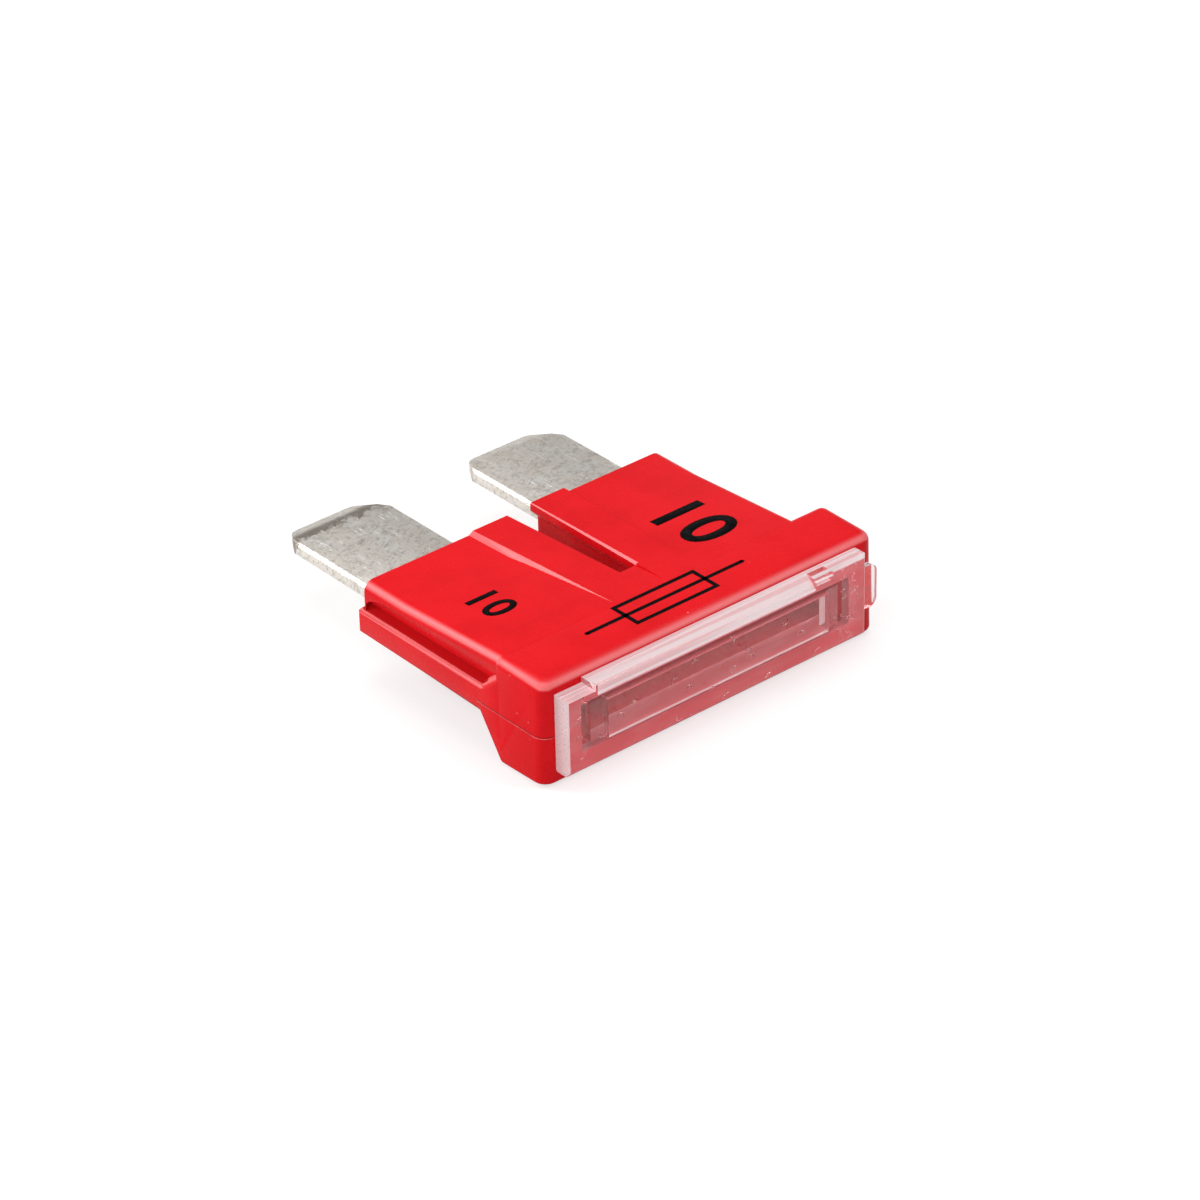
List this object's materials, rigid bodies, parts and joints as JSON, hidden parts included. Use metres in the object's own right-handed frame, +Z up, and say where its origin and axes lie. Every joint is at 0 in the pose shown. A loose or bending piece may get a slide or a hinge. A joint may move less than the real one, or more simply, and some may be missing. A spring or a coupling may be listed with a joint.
{
  "type": "automotive blade fuse",
  "caption": "Plug-in blade fuse: flat tinned blades joined by a thin fusible link, held in a red moulded housing with a clear viewing window.",
  "frame": {"origin": "on the head's flat underside, midway between the two blades and under the middle of the head's depth", "axes": "+Y along the blades towards their tips, +X across both blades, +Z up through the blades' thickness"},
  "size_m": [0.0187, 0.0208, 0.005],
  "materials": {
    "red_plastic": "satin moulded, translucent red",
    "blade_metal": "tarnished tin plate with fine scratches",
    "clear_plastic": "clear moulded"
  },
  "bodies": {
    "root": {"housing": "red_plastic", "fuse_element": "blade_metal", "window_cap": "clear_plastic"}
  },
  "joints": []
}
